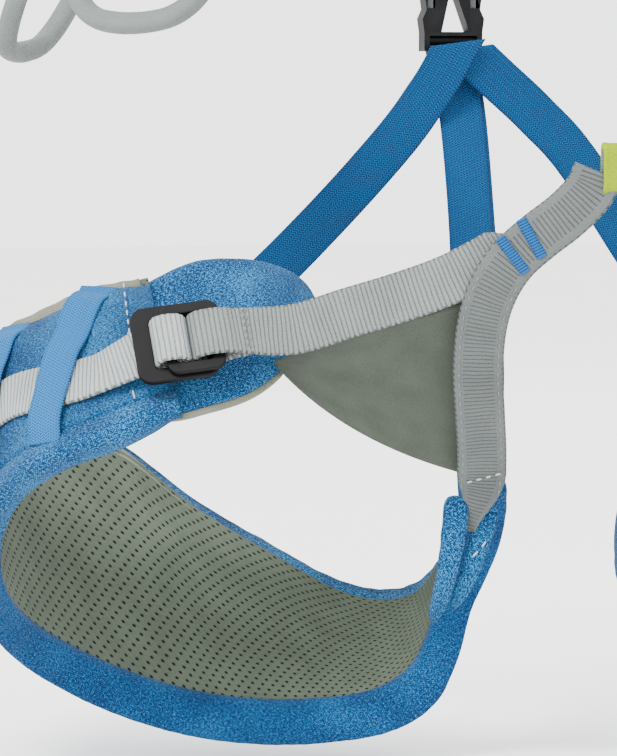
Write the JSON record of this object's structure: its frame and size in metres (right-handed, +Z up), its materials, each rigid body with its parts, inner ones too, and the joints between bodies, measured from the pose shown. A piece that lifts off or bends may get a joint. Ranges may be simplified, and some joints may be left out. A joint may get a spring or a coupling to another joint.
{
  "type": "climbing harness",
  "caption": "Padded climbing sit harness: waist belt, gear loops, tie-in points with belay loop, and two adjustable leg loops on elastic risers.",
  "frame": {"origin": "centre of the waist opening, at the height of the belt's front", "axes": "+Z up, -Y to the wearer's front, -X to the wearer's right"},
  "size_m": [0.4274, 0.2571, 0.394],
  "materials": {
    "loop_sheath": "woven, slightly glossy",
    "loop_core": "smooth tube",
    "lime_sheath": "coated",
    "mesh_lining": "spacer mesh",
    "foam": "closed-cell foam",
    "knit": "smooth knit",
    "dark_metal": "satin",
    "black_plastic": "fine grain",
    "blue_elastic": "twill elastic",
    "blue_edge": "folded over",
    "blue_fabric": "heathered",
    "grey_webbing": "ribbed"
  },
  "bodies": {
    "waist": {"waist_lining": "mesh_lining", "waist_foam": "foam", "waist_cover": "blue_fabric", "waist_binding": "blue_edge", "waist_webbing": "grey_webbing", "waist_buckle_frames": "dark_metal", "waist_front_straps": "grey_webbing", "waist_strap_tails": "grey_webbing", "waist_tail_keepers": "blue_elastic", "gear_loop_tabs": "grey_webbing", "upper_tie_in_loop": "grey_webbing", "upper_tie_in_sheath": "lime_sheath", "lower_tie_in_bridge": "grey_webbing", "lower_tie_in_sheath": "lime_sheath", "rear_buckle_socket": "black_plastic", "rear_hang_strap": "blue_elastic", "riser_outer_right": "blue_elastic", "riser_outer_left": "blue_elastic", "riser_centre": "blue_elastic", "haul_loop": "grey_webbing"},
    "belay_loop": {"belay_loop": "grey_webbing", "belay_loop_sleeve": "blue_elastic"},
    "rear_clip": {"rear_buckle_clip": "black_plastic"},
    "clip_prong_right": {"rear_buckle_prong_right": "black_plastic"},
    "clip_prong_left": {"rear_buckle_prong_left": "black_plastic"},
    "leg_right": {"leg_right_lining": "mesh_lining", "leg_right_foam": "foam", "leg_right_cover": "blue_fabric", "leg_right_binding": "blue_edge", "leg_right_tongue": "blue_fabric", "leg_right_load_webbing": "grey_webbing", "leg_right_buckle_frame": "dark_metal", "leg_right_front_strap": "grey_webbing", "leg_right_bridge_strap": "grey_webbing", "leg_right_gusset": "knit", "leg_right_keepers": "blue_elastic"},
    "leg_right_slider": {"leg_right_slider": "dark_metal"},
    "waist_right_slider": {"waist_slider_right": "dark_metal"},
    "gear_loop_front_right": {"gear_loop_front_right_sheath": "loop_sheath", "gear_loop_front_right_core": "loop_core"},
    "gear_loop_rear_right": {"gear_loop_rear_right_sheath": "loop_sheath", "gear_loop_rear_right_core": "loop_core"},
    "leg_left": {"leg_left_lining": "mesh_lining", "leg_left_foam": "foam", "leg_left_cover": "blue_fabric", "leg_left_binding": "blue_edge", "leg_left_tongue": "blue_fabric", "leg_left_load_webbing": "grey_webbing", "leg_left_buckle_frame": "dark_metal", "leg_left_front_strap": "grey_webbing", "leg_left_bridge_strap": "grey_webbing", "leg_left_gusset": "knit", "leg_left_keepers": "blue_elastic"},
    "leg_left_slider": {"leg_left_slider": "dark_metal"},
    "waist_left_slider": {"waist_slider_left": "dark_metal"},
    "gear_loop_front_left": {"gear_loop_front_left_sheath": "loop_sheath", "gear_loop_front_left_core": "loop_core"},
    "gear_loop_rear_left": {"gear_loop_rear_left_sheath": "loop_sheath", "gear_loop_rear_left_core": "loop_core"}
  },
  "joints": [
    {"name": "gear_loop_front_right_swing", "type": "hinge", "parent": "waist", "child": "gear_loop_front_right", "pos_m": [-0.14814, -0.0313, -0.00142], "axis": [-0.3803, 0.9158, 0.1293], "range_deg": [0, 65], "stiffness_Nm_per_rad": 0.02},
    {"name": "gear_loop_front_left_swing", "type": "hinge", "parent": "waist", "child": "gear_loop_front_left", "pos_m": [0.14814, -0.0313, -0.00142], "axis": [-0.3803, -0.9158, -0.1293], "range_deg": [0, 65], "stiffness_Nm_per_rad": 0.02},
    {"name": "gear_loop_rear_right_swing", "type": "hinge", "parent": "waist", "child": "gear_loop_rear_right", "pos_m": [-0.13968, 0.05522, 0.01079], "axis": [0.6099, 0.7847, 0.1108], "range_deg": [0, 65], "stiffness_Nm_per_rad": 0.02},
    {"name": "gear_loop_rear_left_swing", "type": "hinge", "parent": "waist", "child": "gear_loop_rear_left", "pos_m": [0.13968, 0.05522, 0.01079], "axis": [0.6099, -0.7847, -0.1108], "range_deg": [0, 65], "stiffness_Nm_per_rad": 0.02},
    {"name": "leg_right_swing", "type": "hinge", "parent": "waist", "child": "leg_right", "pos_m": [0, -0.121, -0.103], "axis": [1, 0, 0], "range_deg": [-22, 22], "stiffness_Nm_per_rad": 1.2, "deforming": ["riser_outer_right", "riser_centre"]},
    {"name": "leg_right_slider_shift", "type": "slide", "parent": "leg_right", "child": "leg_right_slider", "axis": [0.9727, -0.1915, 0.131], "range_m": [-0.0012, 0.0022]},
    {"name": "waist_right_slider_shift", "type": "slide", "parent": "waist", "child": "waist_right_slider", "axis": [0.9209, -0.3898, 0], "range_m": [-0.0012, 0.0022]},
    {"name": "leg_left_swing", "type": "hinge", "parent": "waist", "child": "leg_left", "pos_m": [0, -0.121, -0.103], "axis": [1, 0, 0], "range_deg": [-22, 22], "stiffness_Nm_per_rad": 1.2, "deforming": ["riser_outer_left"]},
    {"name": "leg_left_slider_shift", "type": "slide", "parent": "leg_left", "child": "leg_left_slider", "axis": [-0.9727, -0.1915, 0.131], "range_m": [-0.0012, 0.0022]},
    {"name": "waist_left_slider_shift", "type": "slide", "parent": "waist", "child": "waist_left_slider", "axis": [-0.9209, -0.3898, 0], "range_m": [-0.0012, 0.0022]},
    {"name": "belay_loop_turn", "type": "hinge", "parent": "waist", "child": "belay_loop", "pos_m": [0, -0.121, -0.05], "axis": [0, 0, 1], "range_deg": [-18, 18]},
    {"name": "rear_clip_pull", "type": "slide", "parent": "waist", "child": "rear_clip", "axis": [0, 0, 1], "range_m": [0, 0.02], "deforming": ["rear_hang_strap"]},
    {"name": "clip_prong_right_flex", "type": "hinge", "parent": "rear_clip", "child": "clip_prong_right", "pos_m": [-0.0083, 0.098, -0.036], "axis": [0, -1, 0], "range_deg": [0, 3.4], "stiffness_Nm_per_rad": 0.1},
    {"name": "clip_prong_left_flex", "type": "hinge", "parent": "rear_clip", "child": "clip_prong_left", "pos_m": [0.0083, 0.098, -0.036], "axis": [0, 1, 0], "range_deg": [0, 3.4], "stiffness_Nm_per_rad": 0.1}
  ]
}
